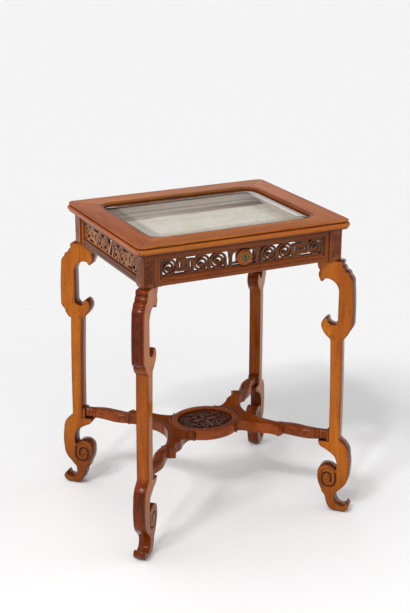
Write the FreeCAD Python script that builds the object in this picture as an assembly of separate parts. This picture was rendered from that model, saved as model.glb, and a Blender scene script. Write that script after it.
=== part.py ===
import FreeCAD
import Part
import math
import os

os.makedirs("parts", exist_ok=True)
V = FreeCAD.Vector
up = V(0, 0, 1)

# Driving sizes in millimetres. The origin is on the floor under the middle of the table,
# X runs along the front, Y runs from front to back and Z points up.
tableHeight = 743.0
topLength = 529.0
topDepth = 433.0
lidThickness = 19.0
lidGap = 0.4
frameWidth = 54.0
lidCorner = 16.0
bedHeight = 7.0
caseInset = 13.5
postWidth = 33.0
railSetback = 4.0
railThickness = 22.0
wingWidth = 14.0
upperRailHeight = 13.6
fretHeight = 40.0
lowerRailHeight = 19.0
fretThickness = 6.0
fretTongue = 3.0
fretSetback = 5.0
legThickness = 29.0
stretcherFoot = 186.0
stretcherHeight = 26.0
ringOuterX = 86.0
ringOuterY = 75.5
ringBandX = 16.0
ringBandY = 16.5
runningClearance = 0.05
hinges = 2
hingeSpread = 150.0
hingeLength = 50.0
boltThrow = 6.0

# Sizes that follow from the ones above.
arrisX = topLength / 2
arrisY = topDepth / 2
lidFoot = tableHeight - lidThickness
caseTop = lidFoot - lidGap
postTop = caseTop - bedHeight
caseX = arrisX - caseInset
caseY = arrisY - caseInset
postX = caseX - postWidth / 2
postY = caseY - postWidth / 2
openX = caseX - postWidth - wingWidth
openY = caseY - postWidth - wingWidth
fretTop = postTop - upperRailHeight
fretFoot = fretTop - fretHeight
fretMid = fretFoot + fretHeight / 2
caseFoot = fretFoot - lowerRailHeight
railInnerX = caseX - railSetback - railThickness
railInnerY = caseY - railSetback - railThickness
stretcherTop = stretcherFoot + stretcherHeight
diagonal = math.sqrt(0.5)


def put(name, shape):
    solids = shape.Solids
    shape = solids[0] if len(solids) == 1 else Part.makeCompound(solids)
    shape.exportStep("parts/" + name + ".step")


def box(x0, x1, y0, y1, z0, z1):
    low = V(min(x0, x1), min(y0, y1), min(z0, z1))
    return Part.makeBox(abs(x1 - x0), abs(y1 - y0), abs(z1 - z0), low)


def fuse(first, *rest):
    return first.fuse(list(rest)).removeSplitter()


def face(points, place):
    """points: (u, v) starts or ends a line, (u, v, mu, mv) ends an arc through (mu, mv)."""
    edges = []
    last = place(*points[0][:2])
    for p in points[1:] + [points[0][:2]]:
        end = place(p[0], p[1])
        if len(p) == 4:
            edges.append(Part.Arc(last, place(p[2], p[3]), end).toShape())
        elif last.distanceToPoint(end) > 1e-6:
            edges.append(Part.makeLine(last, end))
        last = end
    return Part.Face(Part.Wire(edges))


def plan(points, z0, z1):
    flat = face(points, lambda u, v: V(u, v, z0))
    return flat.extrude(up * (z1 - z0))


def flow(start, heading, *stops):
    """Arcs from start through the stops, each tangent to the one before, as face points."""
    last = V(start[0], start[1], 0)
    way = V(heading[0], heading[1], 0).normalize()
    arcs = [tuple(start)]
    for x, y in stops:
        end = V(x, y, 0)
        chord = end - last
        reach = chord.Length
        chord.normalize()
        along = way.dot(chord)
        middle = (last + end) * 0.5 + (way - chord * along) * (reach / 2 / (1 + along))
        arcs.append((x, y, middle.x, middle.y))
        way = chord * (2 * along) - way
        last = end
    return arcs


def reflected(points):
    """The same outline walked the other way on the far side of the X axis."""
    back = []
    for i in range(len(points) - 1, 0, -1):
        via = tuple(c * (1, -1)[k] for k, c in enumerate(points[i][2:]))
        back.append((points[i - 1][0], -points[i - 1][1]) + via)
    return back


def oval(a, b, z0, z1):
    if a < b:
        curve = Part.Ellipse(V(0, b, z0), V(a, 0, z0), V(0, 0, z0))
    else:
        curve = Part.Ellipse(V(a, 0, z0), V(0, b, z0), V(0, 0, z0))
    return Part.Face(Part.Wire(curve.toShape())).extrude(up * (z1 - z0))


def roundedPlate(hx, hy, r, z0, z1):
    c = r * (1 - math.sqrt(0.5))
    points = [(hx, hy - r), (hx - r, hy, hx - c, hy - c), (r - hx, hy)]
    points += [(-hx, hy - r, c - hx, hy - c), (-hx, r - hy), (r - hx, -hy, c - hx, c - hy)]
    points += [(hx - r, -hy), (hx, r - hy, hx - c, c - hy)]
    return plan(points, z0, z1)


def ringMoulding(profile, hx, hy, r):
    """Runs a (d, z) section, d outward from a rounded rectangle, once round it."""
    cx = hx - r
    cy = hy - r
    parts = []
    for s in (1, -1):
        side = face(profile, lambda d, z: V(s * (hx + d), -cy, z))
        parts.append(side.extrude(V(0, 2 * cy, 0)))
        end = face(profile, lambda d, z: V(-cx, s * (hy + d), z))
        parts.append(end.extrude(V(2 * cx, 0, 0)))
    for sx, sy in ((1, 1), (-1, 1), (-1, -1), (1, -1)):
        corner = face(profile, lambda d, z: V(sx * (hx + d), sy * cy, z))
        parts.append(corner.revolve(V(sx * cx, sy * cy, 0), up, 90 * sx * sy))
    return fuse(*parts)


def mitred(ring, hx, hy, reach, z0, z1):
    """Cuts a frame into its four members along the corner mitres."""
    out = 12.0
    lx, ly = hx + out, hy + out
    ix, iy = hx - reach, hy - reach
    wedges = {
        "front": [(-lx, -ly), (lx, -ly), (ix, -iy), (-ix, -iy)],
        "back": [(-lx, ly), (-ix, iy), (ix, iy), (lx, ly)],
        "left": [(-lx, -ly), (-ix, -iy), (-ix, iy), (-lx, ly)],
        "right": [(lx, -ly), (lx, ly), (ix, iy), (ix, -iy)],
    }
    return {k: ring.common(plan(w, z0 - 1, z1 + 1)) for k, w in wedges.items()}


def turned(shape, degrees, x=0.0, y=0.0):
    copy = shape.copy()
    copy.rotate(V(x, y, 0), up, degrees)
    return copy


def mirrored(shape, sx, sy):
    copy = shape
    if sx < 0:
        copy = copy.mirror(V(0, 0, 0), V(1, 0, 0))
    if sy < 0:
        copy = copy.mirror(V(0, 0, 0), V(0, 1, 0))
    return copy


corners = {"fr": (1, -1), "fl": (-1, -1), "br": (1, 1), "bl": (-1, 1)}

# Lid: four mitred members with a moulded edge, round a sheet of bevelled glass.
torusRadius = 5.5
torusOut = 3.5
beadRadius = 2.0
torusMid = lidFoot + 1.2 + torusRadius
torusCentre = torusOut - torusRadius
quirkTop = tableHeight - 2 * beadRadius - 0.5
lidEdge = [
    (-lidCorner, lidFoot),
    (0.4, lidFoot),
    (0.4, torusMid - 4.9),
    (torusCentre + 0.6, torusMid + 5.45, torusOut, torusMid),
    (torusCentre - 1.2, torusMid + 5.45),
    (torusCentre - 1.2, quirkTop),
    (-beadRadius, quirkTop),
    (-beadRadius, tableHeight, 0.0, tableHeight - beadRadius),
    (-7.4, tableHeight),
    (-8.0, tableHeight - 0.7),
    (-8.6, tableHeight),
    (-lidCorner, tableHeight),
]
openingX = arrisX - frameWidth
openingY = arrisY - frameWidth
openingCorner = 40.0
lipReach = 6.0
ovoloDrop = 3.5
lipDepth = 5.0
rebateOut = 1.5
rebateTop = tableHeight - lipDepth
slabX = arrisX - lidCorner
slabY = arrisY - lidCorner
lidSlab = box(-slabX, slabX, -slabY, slabY, lidFoot, tableHeight)
lidBlank = fuse(lidSlab, ringMoulding(lidEdge, arrisX, arrisY, lidCorner))
sight = roundedPlate(
    openingX - lipReach, openingY - lipReach, openingCorner - lipReach, lidFoot - 1, tableHeight + 1
)
rebateX = openingX + rebateOut
rebateY = openingY + rebateOut
rebateCorner = openingCorner + rebateOut
rebate = roundedPlate(rebateX, rebateY, rebateCorner, lidFoot - 1, rebateTop)
ovolo = [
    (0, tableHeight),
    (0, tableHeight + 1),
    (-lipReach - 1, tableHeight + 1),
    (-lipReach - 1, tableHeight - ovoloDrop),
    (-lipReach, tableHeight - ovoloDrop),
    (0, tableHeight, -lipReach * 0.707, tableHeight - ovoloDrop * 0.293),
]
ovoloCut = ringMoulding(ovolo, openingX, openingY, openingCorner)
lidFrame = lidBlank.cut(sight).cut(rebate).cut(ovoloCut)
lidParts = mitred(lidFrame, arrisX, arrisY, arrisY - 20, lidFoot, tableHeight)

# Stub tenons of the rails cross the mitres into the stiles.
tenonThick = 6.0
tenonWide = 24.0
tenonReach = 18.0
tenonFoot = lidFoot + 5.5
tenonAt = frameWidth / 2 - 2
mitreTenon = box(
    arrisX - tenonAt, arrisX - tenonAt + tenonReach, -arrisY + tenonAt - tenonWide / 2,
    -arrisY + tenonAt + tenonWide / 2, tenonFoot, tenonFoot + tenonThick,
)
mitreTenon = turned(mitreTenon, 45, arrisX - tenonAt, tenonAt - arrisY)
tenons = {k: mirrored(mitreTenon, sx, -sy) for k, (sx, sy) in corners.items()}
for key, ends in (("front", ("fr", "fl")), ("back", ("br", "bl"))):
    lidParts[key] = fuse(lidParts[key], tenons[ends[0]], tenons[ends[1]])
for key, ends in (("left", ("fl", "bl")), ("right", ("fr", "br"))):
    lidParts[key] = lidParts[key].cut(tenons[ends[0]]).cut(tenons[ends[1]])

# Glass with a wide shallow bevel, on quarter-round beads let into the rebate.
glassPlay = 0.5
glassFoot = lidFoot + 10.5
bevelWidth = 38.0
bevelDrop = 2.0
glassEdgeTop = rebateTop - 0.5
glassTop = glassEdgeTop + bevelDrop
glassX = rebateX - glassPlay
glassY = rebateY - glassPlay
glassCorner = rebateCorner - glassPlay
bevel = [(-bevelWidth, glassFoot), (0, glassFoot), (0, glassEdgeTop), (-bevelWidth, glassTop)]
glassMiddle = roundedPlate(
    glassX - bevelWidth, glassY - bevelWidth, glassCorner - bevelWidth, glassFoot, glassTop
)
put("lid_glass", fuse(glassMiddle, ringMoulding(bevel, glassX, glassY, glassCorner)))
beadFoot = lidFoot + 0.6
beadWidth = 8.0
bead = [
    (0, beadFoot),
    (0, glassFoot),
    (-beadWidth, glassFoot),
    (-beadWidth, glassFoot - 1.4),
    (-1.6, beadFoot, -beadWidth * 0.72, beadFoot + 1.6),
]
beads = ringMoulding(bead, rebateX, rebateY, rebateCorner)
for key, solid in mitred(beads, arrisX, arrisY, arrisY - 20, lidFoot, glassFoot).items():
    put("glass_bead_" + key, solid)

# Case: bed moulding on top of four posts and eight rails.
bedOut = -1.0
bed = [
    (-lidCorner, postTop),
    (-caseInset + 0.6, postTop),
    (-caseInset + 0.6, postTop + 1.4),
    (bedOut - 0.6, postTop + 5.2, -8.2, postTop + 4.2),
    (bedOut, postTop + 5.2),
    (bedOut, caseTop),
    (-lidCorner, caseTop),
]
bedSlab = box(-slabX, slabX, -slabY, slabY, postTop, caseTop)
bedFrame = fuse(bedSlab, ringMoulding(bed, arrisX, arrisY, lidCorner))
bedFrame = bedFrame.cut(box(-railInnerX, railInnerX, -railInnerY, railInnerY, 0, tableHeight))
bedParts = mitred(bedFrame, arrisX, arrisY, arrisY - 20, postTop, caseTop)

# Hinges: the pins lie in the joint between lid and case, behind the bed moulding.
knuckleRadius = 2.6
pinRadius = 1.2
knuckleRoom = 0.4
knuckles = 5
knuckleGap = 0.3
leafThick = 1.5
leafInner = arrisY - 25.0
pinY = arrisY + 0.2
pinZ = lidFoot - lidGap / 2
screwRadius = 1.3
headRadius = 2.6
headDepth = 1.2
screwLength = 9.0


def rod(radius, x0, x1, y, z):
    return Part.makeCylinder(radius, x1 - x0, V(x0, y, z), V(1, 0, 0))


def screw(x, y, z, way, length):
    shank = Part.makeCylinder(screwRadius, length, V(x, y, z), V(0, 0, way))
    head = Part.makeCone(headRadius, screwRadius, headDepth, V(x, y, z), V(0, 0, way))
    return fuse(shank, head)


lidLeaves = []
caseLeaves = []
lidScrews = []
caseScrews = []
pins = []
pitch = hingeLength / knuckles
for n in range(hinges):
    midX = hingeSpread * (2 * n - 1)
    x0 = midX - hingeLength / 2
    lidLeaf = box(
        x0, x0 + hingeLength, leafInner, pinY - knuckleRadius - knuckleRoom, lidFoot, lidFoot + leafThick
    )
    caseLeaf = box(
        x0, x0 + hingeLength, leafInner, pinY - knuckleRadius - knuckleRoom, caseTop - leafThick, caseTop
    )
    leafEdge = pinY - knuckleRadius - knuckleRoom - 0.5
    for k in range(knuckles):
        a = x0 + k * pitch + (knuckleGap / 2 if k else 0)
        b = x0 + (k + 1) * pitch - (knuckleGap / 2 if k < knuckles - 1 else 0)
        roll = rod(knuckleRadius, a, b, pinY, pinZ)
        if k % 2:
            arm = box(a, b, leafEdge, pinY, lidFoot, lidFoot + leafThick)
            lidLeaf = lidLeaf.fuse([roll, arm])
        else:
            arm = box(a, b, leafEdge, pinY, caseTop - leafThick, caseTop)
            caseLeaf = caseLeaf.fuse([roll, arm])
    pin = rod(pinRadius, x0, x0 + hingeLength, pinY, pinZ)
    lidLeaf = lidLeaf.cut(rod(pinRadius + runningClearance, x0 - 1, x0 + hingeLength + 1, pinY, pinZ))
    caseLeaf = caseLeaf.cut(pin)
    screwY = (leafInner + pinY - knuckleRadius) / 2 - 1
    for k in (-1, 1):
        upper = screw(midX + k * hingeLength * 0.32, screwY, lidFoot, 1, screwLength)
        lower = screw(midX + k * hingeLength * 0.32, screwY + 3, caseTop, -1, screwLength)
        lidScrews.append(upper)
        caseScrews.append(lower)
        lidLeaf = lidLeaf.cut(upper)
        caseLeaf = caseLeaf.cut(lower)
    lidLeaves.append(lidLeaf.removeSplitter())
    caseLeaves.append(caseLeaf.removeSplitter())
    pins.append(pin)
    clearRoll = rod(
        knuckleRadius + knuckleRoom, x0 - knuckleGap, x0 + hingeLength + knuckleGap, pinY, pinZ
    )
    lidSeat = box(
        x0, x0 + hingeLength, leafInner, pinY, lidFoot - 1, lidFoot + leafThick
    )
    caseSeat = box(x0, x0 + hingeLength, leafInner, pinY, caseTop - leafThick, caseTop + 1)
    lidParts["back"] = lidParts["back"].cut(clearRoll).cut(lidSeat)
    bedParts["back"] = bedParts["back"].cut(clearRoll).cut(caseSeat)
for n, side in enumerate(("left", "right")):
    put("hinge_lid_leaf_" + side, lidLeaves[n])
    put("hinge_case_leaf_" + side, caseLeaves[n])
    put("hinge_pin_" + side, pins[n])
lidParts["back"] = lidParts["back"].cut(Part.makeCompound(lidScrews))
bedParts["back"] = bedParts["back"].cut(Part.makeCompound(caseScrews))

# Posts carry a plain square outside and a set-back wing toward each rail.
railFaceX = caseX - railSetback
railFaceY = caseY - railSetback
ovoloWidth = 6.0
ovoloDepth = 5.0
fretBackX = railFaceX - fretSetback - fretThickness
fretBackY = railFaceY - fretSetback - fretThickness


def edgeCutter(half, faceAt):
    """Ovolo cut round one fret opening of the front side, mitred in its corners."""
    curve = [
        (0, -faceAt - 1),
        (ovoloWidth, -faceAt - 1),
        (ovoloWidth, -faceAt),
        (0, ovoloDepth - faceAt, ovoloWidth * 0.35, ovoloDepth * 0.32 - faceAt),
        (-1, ovoloDepth - faceAt),
        (-1, -faceAt - 1),
    ]
    w = ovoloWidth + 1
    top = face(curve, lambda d, y: V(-half - w, y, fretTop + d)).extrude(V(2 * half + 2 * w, 0, 0))
    low = face(curve, lambda d, y: V(-half - w, y, fretFoot - d)).extrude(V(2 * half + 2 * w, 0, 0))
    height = fretHeight + 2 * w
    end = face(curve, lambda d, y: V(half + d, y, fretFoot - w)).extrude(V(0, 0, height))
    start = face(curve, lambda d, y: V(-half - d, y, fretFoot - w)).extrude(V(0, 0, height))

    def wedge(points):
        flat = face(points, lambda u, v: V(u, -faceAt - 3, v))
        return flat.extrude(V(0, ovoloDepth + 6, 0))

    t, b, h = fretTop, fretFoot, half
    i = 2.0
    return [
        top.common(wedge([(-h - w, t + w), (h + w, t + w), (h - i, t - i), (i - h, t - i)])),
        low.common(wedge([(-h - w, b - w), (i - h, b + i), (h - i, b + i), (h + w, b - w)])),
        end.common(wedge([(h + w, b - w), (h - i, b + i), (h - i, t - i), (h + w, t + w)])),
        start.common(wedge([(-h - w, b - w), (-h - w, t + w), (i - h, t - i), (i - h, b + i)])),
    ]


frontCut = Part.makeCompound(edgeCutter(openX, railFaceY))
sideCut = turned(Part.makeCompound(edgeCutter(openY, railFaceX)), 90)
railTenon = 8.0
railTenonReach = wingWidth + 8.0
upperTenon = (fretTop + 2.5, postTop - 3.0)
lowerTenon = (caseFoot + 4.0, fretFoot - 4.5)
dowelRadius = 6.0
dowelLength = 20.0
tenonY = (railInnerY + fretBackY) / 2 + 3.0
tenonX = (railInnerX + fretBackX) / 2 + 3.0


def rail(half, faceAt, innerAt, tenonMid, z0, z1, tenon, cutter):
    body = box(-half, half, -faceAt, -innerAt, z0, z1)
    reach = half + railTenonReach
    tongue = box(-reach, reach, -tenonMid - railTenon / 2, -tenonMid + railTenon / 2, tenon[0], tenon[1])
    groove = box(
        -half - 1, half + 1, -faceAt + fretSetback, -faceAt + fretSetback + fretThickness,
        fretFoot - fretTongue, fretTop + fretTongue,
    )
    return fuse(body, tongue).cut(cutter).cut(groove), tongue


quirk = 1.2


def lowerDetail(shape, half, faceAt):
    line = face(
        [(-faceAt - 0.1, -quirk), (-faceAt + quirk, 0), (-faceAt - 0.1, quirk)],
        lambda y, z: V(-half - 1, y, fretFoot - ovoloWidth - 3.0 + z),
    ).extrude(V(2 * half + 2, 0, 0))
    round3 = 3.0
    nose = face(
        [
            (-faceAt - 1, caseFoot - 1),
            (-faceAt + round3, caseFoot - 1),
            (-faceAt + round3, caseFoot),
            (-faceAt, caseFoot + round3, -faceAt + 0.9, caseFoot + 0.9),
            (-faceAt - 1, caseFoot + round3),
        ],
        lambda y, z: V(-half - 1, y, z),
    ).extrude(V(2 * half + 2, 0, 0))
    return shape.cut(line).cut(nose)


sideCutter = turned(sideCut, -90)
frontUpper, tongueFU = rail(openX, railFaceY, railInnerY, tenonY, fretTop, postTop, upperTenon, frontCut)
frontLower, tongueFL = rail(openX, railFaceY, railInnerY, tenonY, caseFoot, fretFoot, lowerTenon, frontCut)
sideUpper, tongueSU = rail(openY, railFaceX, railInnerX, tenonX, fretTop, postTop, upperTenon, sideCutter)
sideLower, tongueSL = rail(openY, railFaceX, railInnerX, tenonX, caseFoot, fretFoot, lowerTenon, sideCutter)
frontLower = lowerDetail(frontLower, openX, railFaceY)
sideLower = lowerDetail(sideLower, openY, railFaceX)

postRound = 4.0
post = box(caseX - postWidth, caseX, -caseY, postWidth - caseY, caseFoot, postTop)
outerEdges = [
    e for e in post.Edges
    if abs(e.BoundBox.XMin - caseX) < 0.01 and abs(e.BoundBox.XMax - caseX) < 0.01
    and abs(e.BoundBox.YMin + caseY) < 0.01 and abs(e.BoundBox.YMax + caseY) < 0.01
]
post = post.makeFillet(postRound, outerEdges)
wingFront = box(openX, caseX - postWidth + 1, -railFaceY, -railInnerY, caseFoot, postTop)
wingSide = box(railInnerX, railFaceX, postWidth - caseY - 1, -openY, caseFoot, postTop)
grooveFront = box(
    openX - 1, openX + fretTongue, -railFaceY + fretSetback, -railFaceY + fretSetback + fretThickness,
    fretFoot - fretTongue, fretTop + fretTongue,
)
grooveSide = box(
    railFaceX - fretSetback - fretThickness, railFaceX - fretSetback, -openY - fretTongue, 1 - openY,
    fretFoot - fretTongue, fretTop + fretTongue,
)
socket = Part.makeCylinder(dowelRadius, dowelLength, V(postX, -postY, caseFoot))
post = fuse(post, wingFront, wingSide).cut(frontCut).cut(sideCut)
post = post.cut(grooveFront).cut(grooveSide).cut(socket)
post = post.cut(tongueFU).cut(tongueFL).cut(turned(tongueSU, 90)).cut(turned(tongueSL, 90))
for key, (sx, sy) in corners.items():
    put("corner_post_" + key, mirrored(post, sx, -sy))

# Fret panels: spirals and keys held between a thin top strip and a deeper foot strip.
stripTop = 1.7
stripFoot = 2.9
stripEnd = 2.0
stripBite = 0.5
spiralBand = 5.5
innerBand = 5.2
spiralGap = 1.5
tailFlare = 2.5
motifOverlap = 1.0
keySlot = 4.5
keyBand = 5.8
slitWidth = 4.0
slitHeight = 14.0
keyHole = 3.0
bracketApart = 32.0
frontFirst = 64.0
sideFirst = 28.0
fretMargin = 19.0
motifMid = fretMid + (stripFoot - stripTop) / 2
motifRise = (fretHeight - stripFoot - stripTop) / 2 + stripBite


def motifPlaces(first, half):
    """Middles of the four motifs from the panel's centre to its end; the third is the key."""
    step = (half - fretMargin - first) / 3
    return [first + k * step for k in range(4)]


def spiral(cx, halfWidth, way):
    """A ring that leaves the foot strip by a flaring tail and winds in to a round eye."""
    r = motifRise
    d = max(halfWidth - r, 0.2)
    rimIn = r - spiralBand
    top = rimIn - spiralGap
    hook = (r + top) / 2
    e = hook - (d + top)
    curl = min((top + r - innerBand - spiralGap) / 2, d + top - e)
    curlIn = curl - innerBand
    eye = 0.58 * curl
    low = top - 2 * curl
    hookMid = top - hook
    curlMid = top - curl
    lip = 0.75 * curlIn
    lipFall = curlMid - math.sqrt(curlIn ** 2 - lip ** 2)
    side = r + d
    points = [
        (-side - tailFlare, -r - 1),
        (-side, 0, -side - 0.2 * tailFlare, -0.5 * r),
        (-d, r, -d - r * diagonal, r * diagonal),
        (d, r),
        (d, -r, d + r, 0),
        (e, -r),
        (e, top, e - hook, hookMid),
        (e, low, e + curl, curlMid),
        (e, low + 2 * eye, e - eye, low + eye),
        (e + lip, lipFall, e + 0.72 * lip, 0.34 * lipFall + 0.66 * (low + 2 * eye)),
        (e, top - innerBand, e + curlIn, curlMid),
        (e, innerBand - r, e - hook + innerBand, hookMid),
        (d + rimIn, 0, d + rimIn * diagonal, -rimIn * diagonal),
        (d, rimIn, d + rimIn * diagonal, rimIn * diagonal),
        (-d, rimIn),
        (spiralBand - side, 0, -d - rimIn * diagonal, rimIn * diagonal),
        (spiralBand - side, -r - 1, spiralBand - side + 0.6, -0.5 * r),
    ]
    moved = []
    for p in points:
        q = [p[0] * way + cx, p[1] + motifMid]
        if len(p) == 4:
            q += [p[2] * way + cx, p[3] + motifMid]
        moved.append(tuple(q))
    return moved


def squareKey(cx, halfWidth, way):
    """Two linked blocks, one hung from the top strip and one standing on the foot strip."""
    r = motifRise
    w = halfWidth
    high = r - keySlot - stripBite
    points = [
        (-w, -r), (-w, high), (-1, high), (-1, r), (w, r), (w, -high), (1, -high), (1, -r),
    ]
    return [(p[0] * way + cx, p[1] + motifMid) for p in points]


def keySlits(cx, halfWidth, way):
    """A slit near the outer side of each block and a small hole where they meet."""
    x = halfWidth - keyBand
    h = slitHeight / 2
    k = keyHole / 2
    slits = [(x - slitWidth, x, 1 - h, 1 + h), (-x, slitWidth - x, -1 - h, h - 1), (-k, k, -k, k)]
    return [
        [(u * way + cx, v + motifMid) for u, v in ((x0, z0), (x1, z0), (x1, z1), (x0, z1))]
        for x0, x1, z0, z1 in slits
    ]


def strut(cx, way):
    """Curved leaf that leans from the foot strip up and outward to the top strip."""
    h = fretHeight / 2
    points = [
        (-12.0, -h), (11.0, h, -4.5, 4.5), (17.0, h), (-4.2, -h, 4.0, 2.0),
    ]
    return [
        tuple(c * way + cx if i % 2 == 0 else c + fretMid for i, c in enumerate(p)) for p in points
    ]


def bracket(cx, way):
    """Upright leaf beside the boss, with a curled top and a short arm that reach the boss."""
    h = fretHeight / 2
    points = [
        (7.0, -h), (6.0, 4.0, 4.4, -8.0), (10.5, h, 7.0, h - 7.0), (-22.0, h), (-20.0, h - 6.5),
        (-7.0, h - 7.5, -13.0, h - 5.2), (-2.6, 2.0, -3.4, 8.0), (-3.4, -9.5, -2.3, -4.0),
        (-20.0, -10.0), (-20.0, -13.5), (-3.0, -13.0), (-2.0, -h),
    ]
    return [
        tuple(c * way + cx if i % 2 == 0 else c + fretMid for i, c in enumerate(p)) for p in points
    ]


def fretPanel(half, faceAt, first, centre):
    def solid(points):
        return face(points, lambda u, v: V(u, fretSetback - faceAt, v)).extrude(V(0, fretThickness, 0))

    rim = half + fretTongue
    low, high = fretFoot - fretTongue, fretTop + fretTongue
    slab = solid([(-rim, low), (rim, low), (rim, high), (-rim, high)])
    e = half - stripEnd
    low, high = fretFoot + stripFoot, fretTop - stripTop
    frame = slab.cut(solid([(-e, low), (e, low), (e, high), (-e, high)]))
    pieces = []
    places = motifPlaces(first, half)
    wide = (places[1] - places[0] + motifOverlap) / 2
    for way in (1, -1):
        for k, at in enumerate(places):
            if k == 2:
                key = solid(squareKey(at * way, wide, way))
                pieces.append(key.cut(Part.makeCompound([solid(q) for q in keySlits(at * way, wide, way)])))
            else:
                pieces.append(solid(spiral(at * way, wide, way if k < 2 else -way)))
        if centre:
            pieces.append(solid(bracket((first - bracketApart) * way, way)))
    if not centre:
        pieces.append(solid(strut(0.0, 1)))
    return fuse(frame, *pieces).common(slab)


bossRadius = 19.0
bossSeat = Part.makeCylinder(bossRadius - 0.6, fretThickness, V(0, fretSetback - railFaceY, fretMid), V(0, 1, 0))
fretFront = fuse(fretPanel(openX, railFaceY, frontFirst, True), bossSeat)
keyholeRadius = 2.0
keyholeDrop = 6.0


def keyhole(y0, y1):
    hole = Part.makeCylinder(keyholeRadius, y1 - y0, V(0, y0, fretMid + 1.5), V(0, 1, 0))
    return hole.fuse(box(-1.0, 1.0, y0, y1, fretMid + 1.5 - keyholeDrop, fretMid + 1.5))


lockWidth = 28.0
lockDeep = 11.0
lockFoot = fretMid - 14.0
lockWall = 1.5
boardThick = 3.5
boardFoot = fretTop - boardThick
put("fret_back", turned(fretFront, 180))
put("fret_front", fretFront.cut(keyhole(-caseY, -railInnerY)))
fretSide = fretPanel(openY, railFaceX, sideFirst, False)
put("fret_right", turned(fretSide, 90))
put("fret_left", turned(fretSide, -90))

# Turned boss with a brass keyhole plate over the middle of the front fret.
bossBack = fretSetback - railFaceY
bossRise = 6.0
plateRadius = 11.0
plateThick = 1.4
bossProfile = [
    (0, bossBack),
    (0, bossBack - bossRise + plateThick + 0.4),
    (plateRadius, bossBack - bossRise + plateThick + 0.4),
    (plateRadius, bossBack - bossRise),
    (15.0, bossBack - bossRise + 1.6, 13.2, bossBack - bossRise - 0.4),
    (bossRadius, bossBack - 1.6, 18.2, bossBack - bossRise + 1.8),
    (bossRadius, bossBack),
]
boss = face(bossProfile, lambda r, y: V(r, y, fretMid)).revolve(V(0, 0, fretMid), V(0, 1, 0), 360)
put("fret_boss", boss.cut(keyhole(-caseY, -railInnerY)))
plateFoot = bossBack - bossRise + plateThick + 0.4
plate = Part.makeCylinder(plateRadius, plateThick, V(0, plateFoot - plateThick, fretMid), V(0, 1, 0))
plateRing = Part.makeTorus(plateRadius - 2.4, 0.5, V(0, plateFoot - plateThick, fretMid), V(0, 1, 0))
put("keyhole_plate", plate.fuse(plateRing).cut(keyhole(-caseY, -railInnerY)))

# Lock: a box behind the boss with a bolt that rises through rail and bed moulding.
lockFront = -fretBackY
boltY = lockFront + 4.5
boltWide = 8.0
boltThick = 4.0
boltTop = caseTop - 0.4
tailFoot = lockFoot + 4.0
tailHeight = 8.0
slotPlay = 0.4
shank = box(-boltWide / 2, boltWide / 2, boltY - boltThick / 2, boltY + boltThick / 2, tailFoot, boltTop)
tail = box(-9, 9, boltY - boltThick / 2, boltY + boltThick / 2, tailFoot, tailFoot + tailHeight)
hook = box(-2.5, 2.5, boltY - boltThick, boltY + boltThick, tailFoot, tailFoot + 3)
put("lock_bolt", shank.fuse(tail).removeSplitter().cut(hook))
boltRoom = box(
    -boltWide / 2 - slotPlay, boltWide / 2 + slotPlay, boltY - boltThick / 2 - slotPlay,
    boltY + boltThick / 2 + slotPlay, boardFoot - 5, tableHeight - 10,
)
lockBack = lockFront + lockDeep
lockCase = box(-lockWidth / 2, lockWidth / 2, lockFront, lockBack, lockFoot, boardFoot)
lockHollow = box(
    lockWall - lockWidth / 2, lockWidth / 2 - lockWall, lockFront + lockWall, lockBack - lockWall,
    lockFoot + lockWall, boardFoot - lockWall,
)
put("lock_case", lockCase.cut(lockHollow).cut(boltRoom).cut(keyhole(lockFront - 1, lockFront + lockWall)))
strikeX = 18.0
strikeY = 6.0
strikeThick = 1.5
strike = box(-strikeX, strikeX, boltY - strikeY, boltY + strikeY, lidFoot, lidFoot + strikeThick)
lidParts["front"] = lidParts["front"].cut(strike)
strikeRoom = box(
    -boltWide / 2 - slotPlay, boltWide / 2 + slotPlay, boltY - boltThick / 2 - slotPlay,
    boltY + boltThick / 2 + slotPlay, lidFoot - 1, lidFoot + boltThrow + 1.2,
)
lidParts["front"] = lidParts["front"].cut(strikeRoom)
strikeScrews = [screw(x, boltY, lidFoot, 1, screwLength) for x in (-12.0, 12.0)]
for s in strikeScrews:
    strike = strike.cut(s)
    lidParts["front"] = lidParts["front"].cut(s)
put("strike_plate", strike.cut(strikeRoom))
bedParts["front"] = bedParts["front"].cut(boltRoom)
frontUpper = frontUpper.cut(boltRoom)
put("lid_screws", Part.makeCompound(lidScrews + strikeScrews))
put("hinge_case_screws", Part.makeCompound(caseScrews))
put("lid_rail_front", lidParts["front"])
put("lid_rail_back", lidParts["back"])
put("lid_stile_left", lidParts["left"])
put("lid_stile_right", lidParts["right"])
for key, solid in bedParts.items():
    put("bed_moulding_" + key, solid)
put("upper_rail_front", frontUpper)
upperBack = rail(openX, railFaceY, railInnerY, tenonY, fretTop, postTop, upperTenon, frontCut)[0]
put("upper_rail_back", turned(upperBack, 180).cut(Part.makeCompound(caseScrews)))
put("lower_rail_front", frontLower)
put("lower_rail_back", turned(frontLower, 180))
for key, degrees in (("right", 90), ("left", -90)):
    put("upper_rail_" + key, turned(sideUpper, degrees))
    put("lower_rail_" + key, turned(sideLower, degrees))

# Display tray: a thin board under the upper rails, a silk-covered floor and silk walls.
boardOut = 6.0
cornerX = caseX - postWidth
cornerY = caseY - postWidth

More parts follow.
